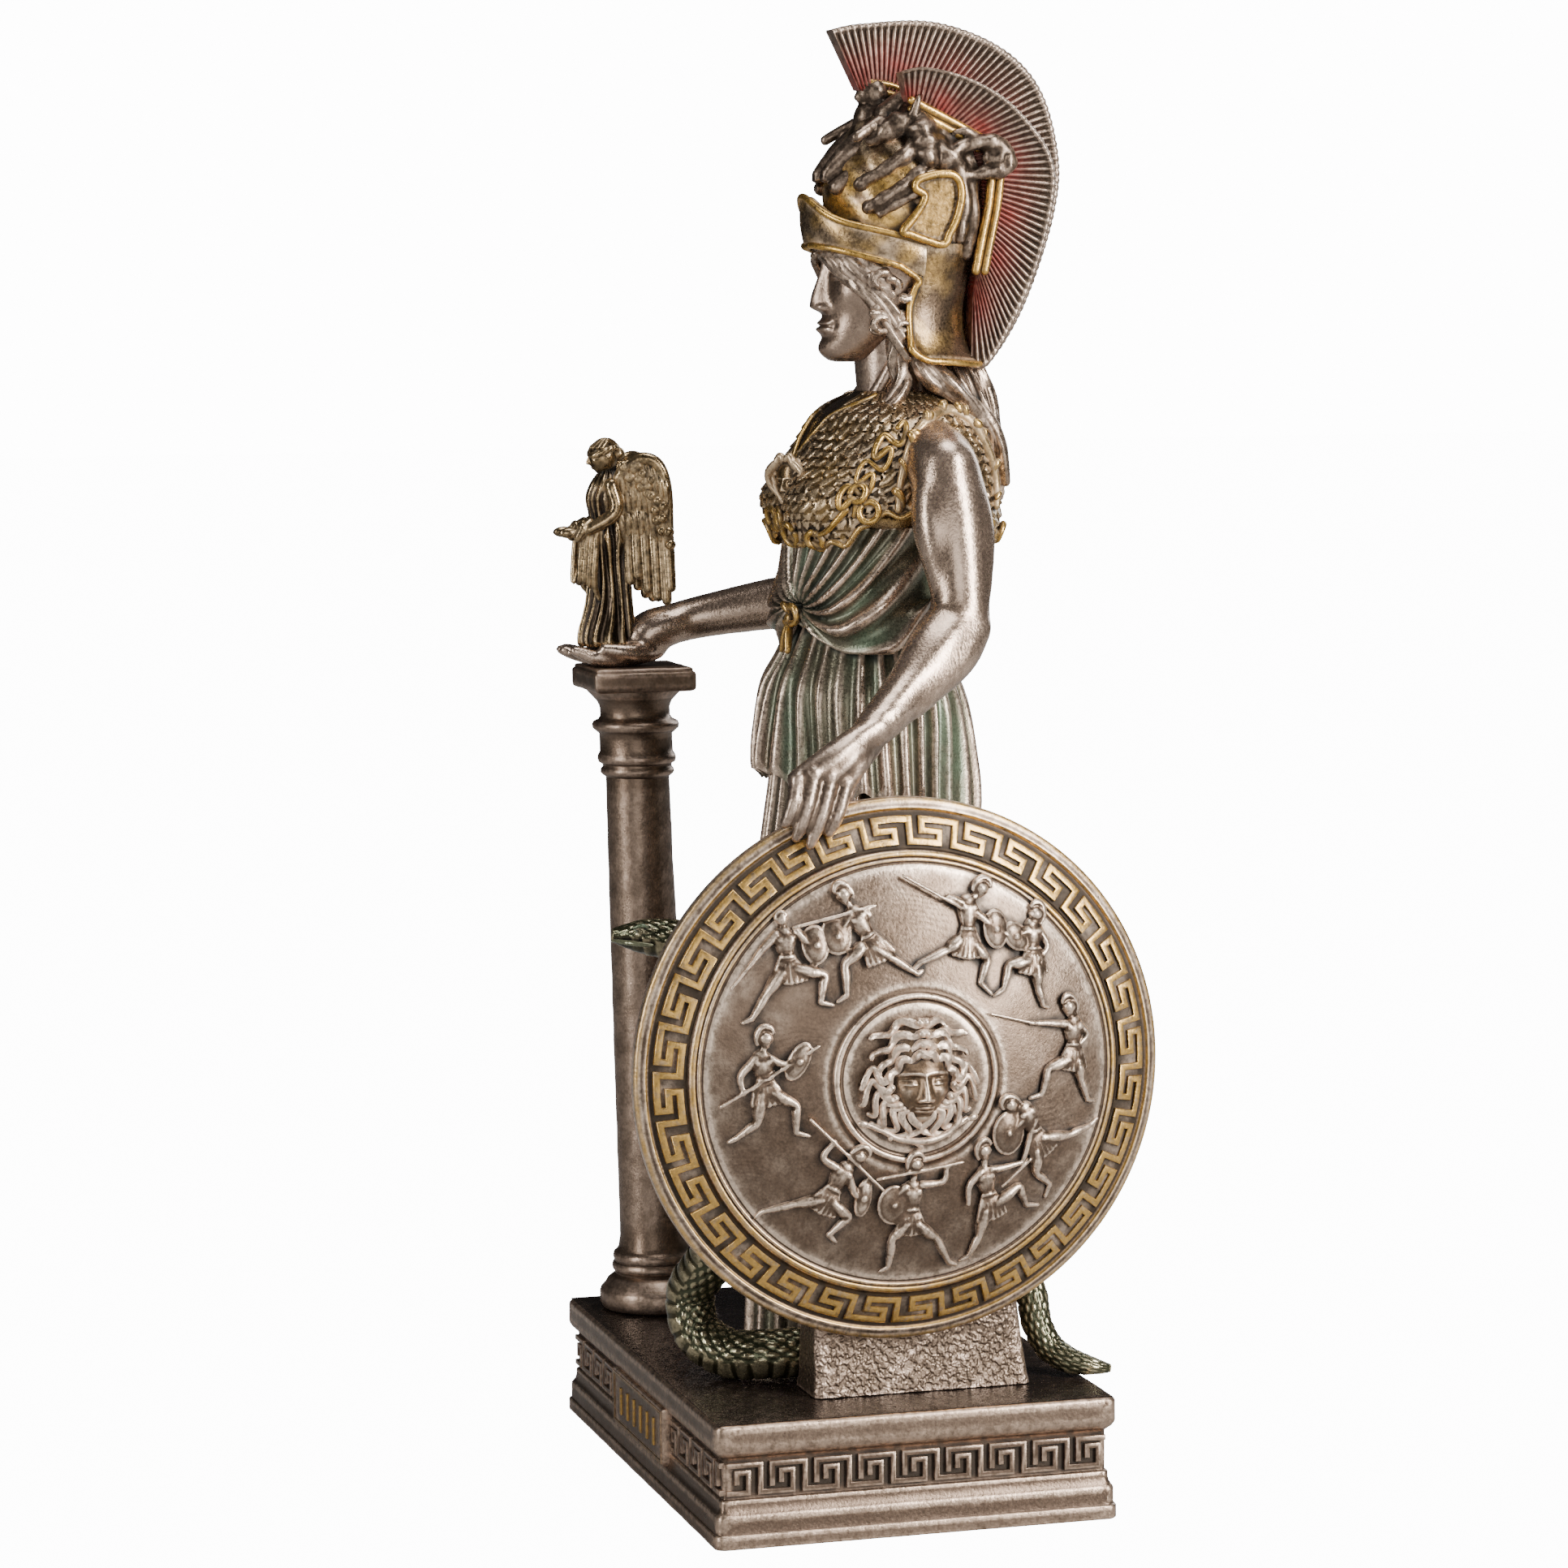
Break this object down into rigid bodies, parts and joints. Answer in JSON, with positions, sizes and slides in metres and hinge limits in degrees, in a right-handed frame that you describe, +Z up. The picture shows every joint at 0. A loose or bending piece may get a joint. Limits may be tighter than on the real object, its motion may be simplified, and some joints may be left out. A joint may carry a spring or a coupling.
{
  "type": "athena statue",
  "caption": "Standing goddess statuette in a crested helmet and pleated robe, hand on a round relief shield, holding a winged victory over a column, serpent behind, on a moulded plinth.",
  "frame": {"origin": "middle of the plinth's underside, on the surface that the statuette stands on", "axes": "+Z up, the figure faces -Y, her left hand and the shield are at +X, the column at -X"},
  "size_m": [0.1305, 0.1088, 0.3006],
  "materials": {
    "bronze": "bronze powder resin, satin metallic, with gilded edges and green in the folds",
    "dark_bronze": "bronze powder resin, darker, burnished on the edges",
    "gold_bronze": "bronze powder resin with a golden rub",
    "green_bronze": "bronze powder resin with a glossy green wash"
  },
  "bodies": {
    "root": {"plinth": "dark_bronze", "column": "dark_bronze", "athena": "bronze", "victory": "gold_bronze", "shield": "bronze", "shield_block": "dark_bronze", "serpent": "green_bronze"}
  },
  "joints": []
}
